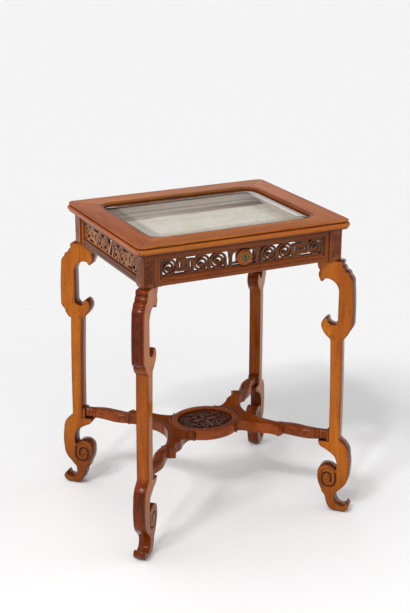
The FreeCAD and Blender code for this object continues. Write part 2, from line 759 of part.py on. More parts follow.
board = plan(
    [(sx * x, sy * y) for sx, sy, flip in ((1, 1, 0), (-1, 1, 1), (-1, -1, 0), (1, -1, 1))
     for x, y in ([(railInnerX + boardOut, openY), (railInnerX, openY), (railInnerX, cornerY),
                   (cornerX, cornerY), (cornerX, railInnerY), (openX, railInnerY),
                   (openX, railInnerY + boardOut)][::-1 if flip else 1])],
    boardFoot, fretTop,
)
boltNotch = box(-boltWide, boltWide, -railInnerY - boardOut - 1, boltY + 4, boardFoot - 1, fretTop + 1)
put("tray_board", board.cut(boltNotch))
silkFloor = 1.0
silkWall = 3.0
wallTop = caseTop - 0.6


def trayOutline(inset):
    quarter = [
        (railInnerX - inset, cornerY - inset), (cornerX - inset, cornerY - inset),
        (cornerX - inset, railInnerY - inset),
    ]
    points = list(quarter)
    points += [(-x, y) for x, y in reversed(quarter)]
    points += [(-x, -y) for x, y in quarter]
    points += [(x, -y) for x, y in reversed(quarter)]
    return points


put("tray_silk_floor", plan(trayOutline(0.0), fretTop, fretTop + silkFloor))
silkWalls = plan(trayOutline(0.0), fretTop + silkFloor, wallTop)
put("tray_silk_walls", silkWalls.cut(plan(trayOutline(silkWall), fretTop, caseTop)))

# Legs: flat scroll-cut planks set on the diagonals, one round tenon up into each post.
shaftMid = caseFoot / 2
c = caseFoot
shaftInner = 12.0
legOutline = [
    (28.0, c),
    (28.6, c - 11.5, 30.8, c - 5.0),
    (36.5, c - 23.0, 34.3, c - 15.2),
    (47.5, c - 34.0, 43.8, c - 25.6),
    (56.0, c - 53.0, 53.8, c - 41.5),
    (59.4, c - 150.0, 59.0, c - 99.0),
    (53.5, c - 166.5, 58.2, c - 159.5),
    (49.0, c - 171.5),
    (44.8, c - 182.0, 48.6, c - 177.0),
    (34.3, c - 191.5, 40.6, c - 188.4),
    (37.4, 194.0, 37.0, shaftMid),
    (44.0, 188.0),
    (62.3, 152.0, 56.8, 174.5),
    (63.0, 100.0, 64.8, 126.0),
    (47.5, 66.0, 57.8, 79.0),
    (36.5, 54.0),
    (31.0, 40.0, 31.6, 47.0),
    (48.5, 17.0, 35.6, 23.6),
    (59.0, 25.5, 55.0, 19.4),
    (63.8, 25.0, 61.6, 27.2),
    (63.2, 9.5, 66.8, 17.2),
    (48.0, 0.0, 57.2, 2.8),
    (36.0, 0.0),
    (14.0, 17.5, 23.5, 5.8),
    (9.5, 30.0),
    (-0.5, 50.0, 6.6, 41.4),
    (-7.5, 68.0, -3.2, 58.4),
    (-12.6, 100.0, -12.2, 84.0),
    (8.0, 122.5, -7.6, 116.4),
    (31.5, 110.0, 22.4, 118.8),
    (27.0, 150.0, 34.0, 131.0),
    (-6.0, 171.0, 11.5, 162.2),
    (-14.0, stretcherFoot, -12.2, 177.6),
    (shaftInner, stretcherFoot),
    (shaftInner, 230.0),
    (7.0, c - 194.0, 10.8, shaftMid),
    (2.5, c - 189.0),
    (-15.0, c - 166.0, -8.2, c - 178.4),
    (-14.5, c - 150.0, -16.6, c - 158.0),
    (-5.5, c - 141.5, -11.2, c - 144.4),
    (-1.5, c - 147.5, -1.9, c - 143.4),
    (23.2, c - 147.0, 10.9, c - 157.0),
    (23.2, c - 79.0),
    (5.0, c - 46.0, 18.6, c - 58.2),
    (-13.5, c - 45.5, -4.2, c - 43.4),
    (-23.0, c - 46.0, -18.2, c - 51.4),
    (-24.0, c - 25.0, -26.6, c - 36.0),
    (-28.0, c, -29.2, c - 14.0),
]
barTenon = 14.0


def legPlace(a, z):
    t = legThickness / 2
    return V(postX + (a - t) * diagonal, -postY - (a + t) * diagonal, z)


plank = face(legOutline, legPlace).extrude(V(1, 1, 0) * (legThickness * diagonal))
footRound = 9.0
half = legThickness / 2
footSection = 60.0
footNear = -20.0
footFar = 90.0
roundSection = [
    (-half, footSection), (-half, footRound), (footRound - half, 0, footRound * 0.3 - half, footRound * 0.3),
    (half - footRound, 0), (half, footRound, half - footRound * 0.3, footRound * 0.3), (half, footSection),
]


def footPlace(t, z):
    return V(postX + (footNear + t) * diagonal, -postY - (footNear - t) * diagonal, z)


footBlock = face(roundSection, footPlace).extrude(V(1, -1, 0) * ((footFar - footNear) * diagonal))
footLow = plank.common(footBlock)
footHigh = plank.common(box(0, topLength, -topLength, 0, footSection, tableHeight))
voluteWidth = 3.2
voluteDeep = 2.6
voluteTurns = [(32.0, 106.0), (32.0, 84.0), (-1.5, 84.0), (-1.5, 92.0), (21.5, 92.0), (21.5, 80.0)]


def voluteBand():
    """A groove that runs down beside the knee, under the eye, over it and down again."""
    (x0, top), (_, bend), (x1, _), (_, rise), (x2, _), (_, end) = voluteTurns
    h = voluteWidth / 2
    under = (x0 + x1) / 2
    over = (x1 + x2) / 2
    deep = (x0 - x1) / 2
    high = (x2 - x1) / 2
    return [
        (x0 + h, top), (x0 + h, bend), (x1 - h, bend, under, bend - deep - h), (x1 - h, rise),
        (x2 + h, rise, over, rise + high + h), (x2 + h, end), (x2 - h, end), (x2 - h, rise),
        (x1 + h, rise, over, rise + high - h), (x1 + h, bend),
        (x0 - h, bend, under, bend - deep + h), (x0 - h, top),
    ]


groove = face(voluteBand(), legPlace).extrude(V(1, 1, 0) * (voluteDeep * diagonal))
grooveFar = groove.copy()
grooveFar.translate(V(1, 1, 0) * ((legThickness - voluteDeep) * diagonal))
tenonPin = Part.makeCylinder(dowelRadius, dowelLength, V(postX, -postY, caseFoot))
leg = fuse(footHigh, footLow, tenonPin).cut(groove).cut(grooveFar)

# Stretcher: an oval ring held by two yokes, four S-shaped bars, a carved roundel inside.
ringInnerX = ringOuterX - ringBandX
ringInnerY = ringOuterY - ringBandY
ledge = 4.0
ledgeZ = stretcherTop - 7.0
ring = oval(ringOuterX, ringOuterY, stretcherFoot, stretcherTop)
ring = ring.cut(oval(ringInnerX, ringInnerY, stretcherFoot - 1, stretcherTop + 1))
ring = ring.cut(oval(ringInnerX + ledge, ringInnerY + ledge, stretcherFoot - 1, ledgeZ))
ringRound = 5.0
outerTop = [
    e for e in ring.Edges
    if abs(e.BoundBox.ZMin - stretcherTop) < 0.01 and abs(e.BoundBox.XMax - ringOuterX) < 0.5
]
ring = ring.makeFillet(ringRound, outerTop)
innerTop = [
    e for e in ring.Edges
    if abs(e.BoundBox.ZMin - stretcherTop) < 0.01 and abs(e.BoundBox.XMax - ringInnerX) < 0.5
]
ring = ring.makeChamfer(2.0, innerTop)
outerFoot = [
    e for e in ring.Edges
    if abs(e.BoundBox.ZMax - stretcherFoot) < 0.01 and abs(e.BoundBox.XMax - ringOuterX) < 0.5
]
ring = ring.makeChamfer(2.5, outerFoot)

jx = postX + shaftInner * diagonal
jy = -postY - shaftInner * diagonal


def between(u, v):
    """A point the shares u and v of the way from the ring's sides out to the leg joint."""
    return (ringOuterX + u * (jx - ringOuterX), v * (jy + ringOuterY) - ringOuterY)


shoulderOuter = between(0.433, 0.372)
shoulderInner = between(0.497, 0.197)
yokeCusp = between(0.331, 0.423)
yokeEnd = flow(
    (between(0.156, 0.0)[0], 0.0), (0.0, -1.0),
    (between(0.204, 0.0)[0], -ringOuterY * 0.48), between(0.4, 0.14), shoulderInner,
)
yokeSide = flow(
    yokeCusp, (-0.087, 0.996), between(0.1975, 0.163), between(0.089, 0.038),
    (ringOuterX - 14.0, 21.5 - ringOuterY), (ringOuterX - 29.0, 13.5 - ringOuterY),
)
yokeHalf = yokeEnd + [shoulderOuter] + yokeSide + [(ringBandX * 3, -ringBandY * 3), (ringBandX * 3, 0.0)]
yoke = plan(yokeHalf + reflected(yokeHalf), stretcherFoot, stretcherTop)
yokeRound = 1.5
shoulderWidth = math.hypot(shoulderInner[0] - shoulderOuter[0], shoulderInner[1] - shoulderOuter[1])
sideTop = [
    e for e in yoke.Edges
    if abs(e.BoundBox.ZMin - stretcherTop) < 0.01 and e.BoundBox.XMax > ringOuterX + 2.0
    and abs(e.Length - shoulderWidth) > 0.6
]
yokeBody = yoke.makeFillet(yokeRound, sideTop)
yokeBody = yokeBody.cut(oval(ringOuterX, ringOuterY, stretcherFoot - 1, stretcherTop + 1))
tongueFoot = stretcherFoot + 8.0
tongueTop = tongueFoot + 8.0
tongueDeep = 4.0
tongue = yoke.common(
    oval(ringOuterX, ringOuterY, tongueFoot, tongueTop).cut(
        oval(ringOuterX - tongueDeep, ringOuterY - tongueDeep, tongueFoot, tongueTop))
)
yokeBody = fuse(yokeBody, tongue)
ring = ring.cut(tongue).cut(turned(tongue, 180))

# One S-shaped bar, from the yoke shoulder to a collar against the inner edge of the leg.
barEnd = 19.0
collarWidth = 27.0
collarLength = 8.0
w = barEnd / 2 * diagonal
outerSide = flow(shoulderOuter, (0.60, -0.80), between(0.618, 0.699), between(0.758, 0.858), (jx - w, jy - w))
innerSide = flow(shoulderInner, (0.866, -0.5), between(0.745, 0.523), (jx + w, jy + w))
innerBack = [(jx + w, jy + w), innerSide[1][:2] + innerSide[2][2:], shoulderInner + innerSide[1][2:]]
bar = plan(outerSide + innerBack, stretcherFoot, stretcherTop)
barRound = 7.0
sides = [
    e for e in bar.Edges
    if e.BoundBox.ZLength < 0.01 and min(abs(e.Length - barEnd), abs(e.Length - shoulderWidth)) > 0.5
]
bar = bar.makeFillet(barRound, sides)
collar = box(jx - collarLength, jx, jy - collarWidth / 2, jy + collarWidth / 2, stretcherFoot, stretcherTop)
collar = collar.makeFillet(2.0, [e for e in collar.Edges if e.BoundBox.XLength > 1])
bar = fuse(bar, turned(collar, -45, jx, jy))
shoulder = V(shoulderOuter[0] + shoulderInner[0], shoulderOuter[1] + shoulderInner[1], 0) * 0.5
turn = math.degrees(math.atan2(shoulderOuter[0] - shoulderInner[0], shoulderInner[1] - shoulderOuter[1]))
barPin = box(shoulder.x - barTenon, shoulder.x + 1, shoulder.y - 5, shoulder.y + 5,
             stretcherFoot + 7, stretcherTop - 7)
barPin = turned(barPin, turn, shoulder.x, shoulder.y)
legPin = box(jx - 1, jx + barTenon, jy - 5, jy + 5, stretcherFoot + 6, stretcherTop - 6)
legPin = turned(legPin, -45, jx, jy)
barBlank = bar.fuse([barPin, legPin]).removeSplitter()
yokeRight = yokeBody.cut(barPin).cut(mirrored(barPin, 1, -1))
leg = leg.cut(legPin)
for key, (sx, sy) in corners.items():
    put("leg_" + key, mirrored(leg, sx, -sy))
    put("stretcher_bar_" + key, mirrored(barBlank, sx, -sy))
put("stretcher_yoke_right", yokeRight)
put("stretcher_yoke_left", mirrored(yokeRight, -1, 1))
put("stretcher_ring", ring)

# Roundel: an oval ground plate with scrolls and leaves standing up from it.
groundThick = 7.0
relief = 4.0
plateA = ringInnerX + ledge - 0.3
plateB = ringInnerY + ledge - 0.3
ground = oval(plateA, plateB, ledgeZ - groundThick, ledgeZ)
raised = []
reliefTop = ledgeZ + relief


def flatSpiral(cx, cy, r, way, upsideDown):
    s = r * 0.24
    b = r * 0.28
    k = -1 if upsideDown else 1
    points = [
        (0, -r), (0, r, -r, 0), (0, 2 * s - r, r - s, s), (0, r - 2 * s, 2 * s - r, 0),
        (0, r - 2 * s - b), (0, b + 2 * s - r, 2 * s + b - r, 0), (0, r - b, r - s - b, s),
        (0, b - r, b - r, 0),
    ]
    out = []
    for p in points:
        q = [p[0] * way + cx, p[1] * k + cy]
        if len(p) == 4:
            q += [p[2] * way + cx, p[3] * k + cy]
        out.append(tuple(q))
    return plan(out, ledgeZ - 0.5, reliefTop)


for sx in (1, -1):
    for sy in (1, -1):
        raised.append(flatSpiral(24.0 * sx, 31.0 * sy, 17.0, sx, sy > 0))
        raised.append(flatSpiral(50.0 * sx, 15.0 * sy, 13.0, sx, sy > 0))
core = Part.makeCylinder(11.0, relief + 0.5, V(0, 0, ledgeZ - 0.5))
raised.append(core.cut(Part.makeCylinder(6.5, relief + 1, V(0, 0, reliefTop - 1.5))))
for degrees in (0, 180):
    petal = plan([(10.0, -3.0), (33.0, 0.0, 22.0, -8.0), (10.0, 3.0, 22.0, 8.0)], ledgeZ - 0.5, reliefTop)
    raised.append(turned(petal, degrees))
    blade = plan([(10.0, -3.0), (53.0, 0.0, 30.0, -5.0), (10.0, 3.0, 30.0, 5.0)], ledgeZ - 0.5, reliefTop)
    raised.append(turned(blade, degrees + 90))
put("stretcher_roundel", fuse(ground, *raised))
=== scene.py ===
import math

import bmesh
import bpy
from mathutils import Matrix, Vector

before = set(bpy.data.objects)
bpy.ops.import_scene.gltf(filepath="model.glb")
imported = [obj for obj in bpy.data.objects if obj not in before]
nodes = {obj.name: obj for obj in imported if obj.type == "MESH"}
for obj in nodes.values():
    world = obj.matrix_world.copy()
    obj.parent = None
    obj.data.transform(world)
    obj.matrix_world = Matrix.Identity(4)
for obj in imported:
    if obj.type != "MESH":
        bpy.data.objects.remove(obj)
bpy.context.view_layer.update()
scene = bpy.context.scene
print("frame loaded:", len(nodes), "nodes")


class Wire:
    # a socket that can be added, multiplied and compared like a number
    def __init__(self, net, socket):
        self.net = net
        self.socket = socket

    def maths(self, operation, *others):
        return self.net.add("ShaderNodeMath", {"operation": operation}, [self, *others])

    def __add__(self, other):
        return self.maths("ADD", other)

    __radd__ = __add__

    def __sub__(self, other):
        return self.maths("SUBTRACT", other)

    def __rsub__(self, other):
        return self.net.add("ShaderNodeMath", {"operation": "SUBTRACT"}, [other, self])

    def __mul__(self, other):
        return self.maths("MULTIPLY", other)

    __rmul__ = __mul__

    def __truediv__(self, other):
        return self.maths("DIVIDE", other)

    def __pow__(self, other):
        return self.maths("POWER", other)

    def __lt__(self, other):
        return self.maths("LESS_THAN", other)

    def __gt__(self, other):
        return self.maths("GREATER_THAN", other)

    def size(self):
        return self.maths("ABSOLUTE")

    def least(self, other):
        return self.maths("MINIMUM", other)

    def most(self, other):
        return self.maths("MAXIMUM", other)

    def ramp(self, low, high):
        # 0 below low, 1 above high and a smooth step between
        settings = {"interpolation_type": "SMOOTHSTEP", "clamp": True}
        return self.net.add("ShaderNodeMapRange", settings, [self, low, high, 0.0, 1.0])

    def fade(self, low, high):
        # 1 below low, 0 above high
        return 1.0 - self.ramp(low, high)

    def span(self, start, full, fading, end):
        # rises from start to full and falls from fading to end
        return self.ramp(start, full) * self.fade(fading, end)

    def line(self, place, width):
        # 1 on a line at the place, fading to 0 at half the width each side
        return (self - place).size().fade(width * 0.2, width * 0.5)


class Net:
    # the nodes of one material or of the world
    def __init__(self, owner, end):
        self.owner = owner
        owner.use_nodes = True
        self.tree = owner.node_tree
        self.tree.nodes.clear()
        self.end = self.tree.nodes.new(end)

    def add(self, kind, settings=None, inputs=(), output=0):
        node = self.tree.nodes.new(kind)
        for key, value in (settings or {}).items():
            setattr(node, key, value)
        pairs = inputs.items() if isinstance(inputs, dict) else enumerate(inputs)
        for key, value in pairs:
            if isinstance(value, Wire):
                self.tree.links.new(value.socket, node.inputs[key])
            else:
                node.inputs[key].default_value = value
        return Wire(self, node.outputs[output])

    def finish(self, wire):
        self.tree.links.new(wire.socket, self.end.inputs["Surface"])
        return self.owner

    def place(self, output=3):
        return self.add("ShaderNodeTexCoord", output=output)

    def axes(self, vector):
        split = self.tree.nodes.new("ShaderNodeSeparateXYZ")
        self.tree.links.new(vector.socket, split.inputs[0])
        return [Wire(self, out) for out in split.outputs]

    def vector(self, x, y, z):
        return self.add("ShaderNodeCombineXYZ", None, [x, y, z])

    def stretch(self, vector, scale, shift=(0.0, 0.0, 0.0)):
        settings = {"operation": "MULTIPLY_ADD"}
        return self.add("ShaderNodeVectorMath", settings, [vector, scale, shift])

    def noise(self, vector, scale, detail=3.0, roughness=0.5, distortion=0.0):
        values = {"Vector": vector, "Scale": scale, "Detail": detail}
        values.update({"Roughness": roughness, "Distortion": distortion})
        return self.add("ShaderNodeTexNoise", None, values)

    def blend(self, factor, first, second, mode="MIX"):
        # inputs 0, 6 and 7 of a colour mix are its factor and its two colours
        colours = [c if isinstance(c, Wire) else (*c, 1.0) for c in (first, second)]
        settings = {"data_type": "RGBA", "blend_type": mode, "clamp_factor": True}
        return self.add("ShaderNodeMix", settings, {0: factor, 6: colours[0], 7: colours[1]}, 2)

    def bump(self, height, strength, distance, normal=None):
        inputs = {"Strength": strength, "Distance": distance, "Height": height}
        if normal:
            inputs["Normal"] = normal
        return self.add("ShaderNodeBump", None, inputs)

    def surface(self, **inputs):
        values = {key.replace("_", " "): value for key, value in inputs.items()}
        return self.finish(self.add("ShaderNodeBsdfPrincipled", None, values))


def paint(name):
    return Net(bpy.data.materials.new(name), "ShaderNodeOutputMaterial")


def linear(level):
    return ((level + 0.055) / 1.055) ** 2.4 if level > 0.04045 else level / 12.92


def rgb(*display):
    # a display colour from 0 to 255 as the linear value a shader works in
    return tuple(linear(level / 255) for level in display)


def deepest(first, *others):
    for other in others:
        first = first.most(other)
    return first


def grooves(reach, lines):
    # the deepest of several lines, each with its place, width and depth
    return deepest(*[reach.line(at, width) * depth for at, width, depth in lines])


pair = ("left", "right")
sides = ("front", "back", *pair)
corners = ("fr", "fl", "br", "bl")
diagonal = math.sqrt(0.5)

# Sizes that the carving and the finish line up with, in metres.
table = {
    "lidHalf": (0.2645, 0.2165),
    "openingHalf": (0.2105, 0.1625),
    "openingCorner": 0.040,
    "postX": 0.2345,
    "postY": 0.1865,
    "legHalf": 0.0145,
    "ring": (0.086, 0.0755),
    "fretMid": 0.6836,
    "silkFloor": 0.7051,
}


# Carving: each function gives the height of the relief and, from 0 to 1, how dark a cut is; the
# dark of a cut is painted shade in the carved groove.

def legSpace(net, place):
    # outward along the leg's own diagonal, across it, and up
    x, y, z = net.axes(place)
    dx = x.size() - table["postX"]
    dy = y.size() - table["postY"]
    return (dx + dy) * diagonal, (dx - dy) * diagonal, z


def fromPoint(out, z, point, squash=1.0):
    # how far from a point on a leg's flat side; squash below 1 draws the circles taller
    dx = out - point[0]
    dz = (z - point[1]) * squash
    return (dx * dx + dz * dz) ** 0.5


# Ranges are in metres: across the plank, out from the post, or up from the floor.
legCarving = {
    "edge": (0.0128, 0.0140),
    "frontFrom": 0.024,
    "border": (0.0095, 0.0022),
    "borderDepth": 0.9,
    "inside": (0.006, 0.009),
    "leaf": (0.480, 0.484, 0.600, 0.604),
    "knee": (0.098, 0.104, 0.172, 0.176),
    "kneeRise": (0.115, 0.140),
    "scaleGrain": (0.2, 0.55),
    "scaleNoise": (300.0, 2.0, 0.55, 1.6),
    "scaleCut": (0.48, 0.60),
    "scaleDepth": 0.8,
    "curl": (0.010, 0.456),
    "curlPitch": 0.0034,
    "curlEnd": (0.0062, 0.0072),
    "curlDepth": 0.55,
    "eye": (0.0100, 0.0900),
    "eyeSquash": 0.8,
    "eyeDome": 0.0085,
    "eyeLines": ((0.0052, 0.0030, 0.75),),
    "eyeShade": ((0.0100, 0.0060, 0.35),),
    "roll": (0.0150, 0.0880),
    "rollSquash": 0.86,
    "rollLine": (0.0232, 0.0034),
    "rollOut": (0.024, 0.030),
    "rollUp": (0.060, 0.072, 0.125, 0.130),
    "hollowLine": (0.0195, 0.0110),
    "hollowOut": (0.022, 0.028, 0.032, 0.038),
    "hollowUp": (0.070, 0.090),
    "hollowDepth": 0.7,
    "voluteTop": 0.135,
    "voluteDepth": 0.62,
    "domeHeight": 1.2,
    "crownHeight": 2.2,
}


def carvedLeg(net, place):
    plan = legCarving
    out, across, z = legSpace(net, place)
    apart = across.size()
    edge = apart.fade(*plan["edge"])
    flat = 1.0 - edge
    # leaf relief on the front edge, between two border grooves
    front = (out > plan["frontFrom"]) * edge
    leaf = z.span(*plan["leaf"])
    knee = z.span(*plan["knee"])
    along, upward = plan["scaleGrain"]
    scales = net.noise(net.vector(out * along, across, z * upward), *plan["scaleNoise"])
    carved = (leaf + knee * z.ramp(*plan["kneeRise"])).least(1.0)
    carved = carved * apart.fade(*plan["inside"]) * front
    border = apart.line(*plan["border"]) * (leaf + knee).least(1.0) * front
    # a small incised curl on each flat side, under the great scroll
    curlOut, curlUp = plan["curl"]
    reach = fromPoint(out, z, plan["curl"])
    turn = (z - curlUp).maths("ARCTAN2", out - curlOut) / (2 * math.pi)
    wave = (reach / plan["curlPitch"] - turn).maths("FRACT")
    curl = wave.line(0.5, 0.5) * reach.fade(*plan["curlEnd"]) * flat
    # the volute: a domed eye with painted shade round it, rolls round it, and a hollow against the
    # leg darkened as painted shade
    low = flat * (z < plan["voluteTop"])
    eye = fromPoint(out, z, plan["eye"], plan["eyeSquash"])
    roll = fromPoint(out, z, plan["roll"], plan["rollSquash"])
    outer = out.fade(*plan["rollOut"]) * z.span(*plan["rollUp"])
    rolls = grooves(eye, plan["eyeLines"]) + roll.line(*plan["rollLine"]) * outer
    rolls = rolls.most(grooves(eye, plan["eyeShade"])).least(1.0)
    hollow = roll.line(*plan["hollowLine"]) * out.span(*plan["hollowOut"])
    hollow = hollow * z.ramp(*plan["hollowUp"]) * plan["hollowDepth"]
    cut = deepest(
        border * plan["borderDepth"], curl * plan["curlDepth"],
        carved * scales.ramp(*plan["scaleCut"]) * plan["scaleDepth"],
        rolls.most(hollow) * low * plan["voluteDepth"],
    )
    dome = eye.fade(0.0, plan["eyeDome"]) * low * plan["domeHeight"]
    crown = across / table["legHalf"]
    crown = crown * crown * edge * plan["crownHeight"]
    return scales * carved + (1.0 - cut) + dome - crown, cut


postCarving = {
    "panelAcross": (0.009, 0.0105),
    "panelUp": (0.652, 0.656, 0.706, 0.709),
    "swirl": (80.0, 2.0, 0.5, 2.6),
    "swirlTurns": 6.0,
    "swirlLine": (0.12, 0.26),
    "swirlDepth": 0.85,
    "border": ((0.0112, 0.0020, 0.75),),
}


def carvedPost(net, place):
    # shallow scrolls on the two outer faces of each post, inside a plain border
    plan = postCarving
    x, y, z = net.axes(place)
    dx = x.size() - table["postX"]
    dy = y.size() - table["postY"]
    across = dx.size().least(dy.size())
    panel = across.fade(*plan["panelAcross"]) * z.span(*plan["panelUp"])
    swirl = net.noise(place, *plan["swirl"]) * plan["swirlTurns"]
    scrolls = panel * swirl.maths("PINGPONG", 0.5).fade(*plan["swirlLine"]) * plan["swirlDepth"]
    cut = scrolls.most(grooves(across, plan["border"]))
    return 1.0 - cut, cut


# First is how far the first spiral's middle is from the fret's, and step how far the next
# one is from that; keyPlace is how many steps out the square key stands.
fretCarving = {
    "long": {"axis": 0, "first": 0.064, "step": 0.04033},
    "short": {"axis": 1, "first": 0.028, "step": 0.03633},
    "keyPlace": 2,
    "soft": 0.001,
    "lines": ((0.0154, 0.0017, 1.0), (0.0082, 0.0017, 1.0), (0.0030, 0.0016, 1.0)),
    "depth": 0.6,
}


def carvedFret(axis, first, step):
    # a groove down the middle of every band, round the eyes and square on the keys
    plan = fretCarving
    half = step / 2

    def carve(net, place):
        split = net.axes(place)
        u = split[axis].size() - first
        v = split[2] - table["fretMid"]
        cell = (u / step + 0.5).maths("FRACT") * step - half
        key = (u - plan["keyPlace"] * step).size().fade(half - plan["soft"], half)
        panel = u.ramp(-half - plan["soft"], -half)
        circle = (cell * cell + v * v) ** 0.5
        square = cell.size().most(v.size())
        ring = circle + key * (square - circle)
        cut = grooves(ring, plan["lines"]) * panel * plan["depth"]
        return 1.0 - cut, cut

    return carve


def ovalReach(x, y):
    # how far a point is outside the stretcher's ring, true close to its edge
    a, b = table["ring"]
    share = ((x / a) * (x / a) + (y / b) * (y / b)) ** 0.5
    return (share - 1.0) * ((a + b) / 2)


ringCarving = {"lines": ((-0.0062, 0.0016, 1.0), (-0.0128, 0.0012, 0.7)), "depth": 0.8}


def carvedRing(net, place):
    x, y, z = net.axes(place)
    cut = grooves(ovalReach(x, y), ringCarving["lines"])
    return 1.0 - cut, cut * ringCarving["depth"]


yokeCarving = {
    "hollowAt": 0.1110,
    "hollowCurve": 4.7,
    "ringLines": ((0.0042, 0.0018, 1.0),),
    "hollowLines": ((-0.0058, 0.0018, 1.0), (-0.0105, 0.0014, 0.8)),
    "top": (0.205, 0.2085),
    "depth": 0.85,
}


def carvedYoke(net, place):
    # grooves that follow the ring and the hollow end of the yoke
    plan = yokeCarving
    x, y, z = net.axes(place)
    hollow = x.size() - plan["hollowAt"] - y * y * plan["hollowCurve"]
    lines = grooves(ovalReach(x, y), plan["ringLines"]).most(grooves(hollow, plan["hollowLines"]))
    cut = lines * z.ramp(*plan["top"]) * plan["depth"]
    return 1.0 - cut, cut


barCarving = {
    "veinGrain": (0.35, 0.6),
    "veins": (210.0, 2.0, 0.5, 0.8),
    "veinCut": (0.56, 0.66),
    "veinDepth": 0.5,
    "veinHeight": 0.5,
    "beadStep": 0.0085,
    "beadWidth": 0.34,
    "beadDepth": 0.7,
    "yokeEnd": (-0.108, -0.100),
    "legEnd": (-0.028, -0.022),
}


def carvedBar(net, place):
    # beads at both ends and the veins of a long leaf
    plan = barCarving
    out, across, z = legSpace(net, place)
    along, upward = plan["veinGrain"]
    veins = net.noise(net.vector(out * along, across, z * upward), *plan["veins"])
    beads = (out / plan["beadStep"]).maths("FRACT").line(0.5, plan["beadWidth"])
    ends = (out.fade(*plan["yokeEnd"]) + out.ramp(*plan["legEnd"])).least(1.0)
    lines = veins.ramp(*plan["veinCut"]) * plan["veinDepth"]
    cut = (beads * ends * plan["beadDepth"]).most(lines)
    return veins * plan["veinHeight"] + (1.0 - cut), cut


roundelCarving = {
    "drift": (60.0, 1.0, 0.5),
    "driftReach": 0.012,
    "leafScale": 78.0,
    "leafTurns": 5.5,
    "vein": (0.10, 0.30),
    "veinDepth": 0.8,
    "veinHeight": 0.6,
    "seedScale": 190.0,
    "seed": (0.35, 0.62),
    "seedDepth": 0.45,
    "seedHeight": 0.5,
}


def carvedRoundel(net, place):
    # curling leaves with seeds between them
    plan = roundelCarving
    drift = net.noise(place, *plan["drift"]) * plan["driftReach"]
    shift = net.vector(drift, drift, 0.0)
    warped = net.add("ShaderNodeVectorMath", {"operation": "ADD"}, [place, shift])
    leafInputs = {"Vector": warped, "Scale": plan["leafScale"]}
    leaves = net.add("ShaderNodeTexVoronoi", {"feature": "SMOOTH_F1"}, leafInputs)
    veins = (leaves * plan["leafTurns"]).maths("PINGPONG", 0.5).ramp(*plan["vein"])
    seedInputs = {"Vector": place, "Scale": plan["seedScale"]}
    seeds = net.add("ShaderNodeTexVoronoi", {"feature": "F1"}, seedInputs)
    cut = ((1.0 - veins) * plan["veinDepth"]).most(seeds.ramp(*plan["seed"]) * plan["seedDepth"])
    return veins * plan["veinHeight"] + (1.0 - seeds) * plan["seedHeight"], cut


def openingReach(x, y):
    # how far a point is inside the rounded edge of the lid's opening
    corner = table["openingCorner"]
    halfX, halfY = table["openingHalf"]
    dx = x.size() - (halfX - corner)
    dy = y.size() - (halfY - corner)
    inner = dx.most(dy).least(0.0)
    dx = dx.most(0.0)
    dy = dy.most(0.0)
    return corner - (dx * dx + dy * dy) ** 0.5 - inner


lidLines = {
    "mitreWidth": 0.0011,
    "lipLines": ((0.0, 0.0030, 0.8),),
    "lip": (0.0, 0.0012),
    "lipDepth": 0.45,
}


def linedLid(net, place):
    # the hairline where two lengths of the lid meet, painted shade along the edge of the opening,
    # and the lip over the glass darker
    plan = lidLines
    x, y, z = net.axes(place)
    lidX, lidY = table["lidHalf"]
    apart = (x.size() - lidX) - (y.size() - lidY)
    lip = openingReach(x, y)
    cut = deepest(
        apart.line(0.0, plan["mitreWidth"]), grooves(lip, plan["lipLines"]),
        lip.ramp(*plan["lip"]) * plan["lipDepth"],
    )
    return 1.0 - cut, cut


# Wood: stretched noise for the figure, fine streaks, open pores, painted shade in the
# recesses and the carving, darker edges, and a coat of varnish. Each noise has its scale,
# detail, roughness and distortion.
woodFinish = {
    "pale": rgb(194, 109, 18),
    "mid": rgb(162, 82, 9),
    "dark": rgb(94, 38, 2),
    # poreAndShade is the dark of the open pores and also the painted shade
    "poreAndShade": rgb(22, 7, 3),
    "alongGrain": 0.09,
    "figure": (16.0, 5.0, 0.62, 0.6),
    "figureRange": (0.28, 0.72),
    "cloud": (4.8, 2.0, 0.5, 0.0),
    "cloudRange": (0.40, 0.68),
    "cloudShare": 0.45,
    "streak": (144.0, 3.0, 0.6, 0.0),
    "streakRange": (0.45, 0.78),
    "streakShare": 0.45,
    "pores": (672.0, 1.0, 0.5, 0.0),
    "poreRange": (0.60, 0.72),
    "poreShare": 0.5,
    "poreDepth": 0.6,
    "grainStrength": 0.10,
    "grainDepth": 0.0006,
    "footRise": (0.04, 0.21),
    "footShade": 0.0,
    "footCloud": (0.6, 0.8),
    "recessReach": 0.009,
    "recessRange": (0.10, 0.80),
    "recessDepth": 0.90,
    "edgeRound": 0.0014,
    "edgeTurn": (0.0, 0.20),
    "edgeShade": 0.25,
    "darkWalls": None,
    "wallRange": (0.3, 0.8),
    "wallShade": 0.85,
    "reliefStrength": 0.8,
    "reliefDepth": 0.0016,
    "roughness": 0.13,
    "figureRoughness": 0.05,
    "shadeRoughness": 0.25,
    "gloss": 0.18,
    "coat": 0.10,
    "coatRoughness": 0.11,
    "shadeCoat": 0.85,
    "samples": 6,
}

# A leg's carved outline is stained redder than its flat sides, its shaft less so.
outlineStain = {
    "across": (0.0126, 0.0142),
    "shaft": (0.185, 0.200, 0.455, 0.475),
    "shaftLess": 0.45,
}


def grainSpace(net, place, along):
    # draws the pattern out along the grain; "bar" lies on the diagonals
    small = woodFinish["alongGrain"]
    if along == "bar":
        out, across, z = legSpace(net, place)
        return net.vector(out * small, across, z)
    scale = {"x": (small, 1.0, 1.0), "y": (1.0, small, 1.0), "z": (1.0, 1.0, small)}[along]
    return net.stretch(place, scale)


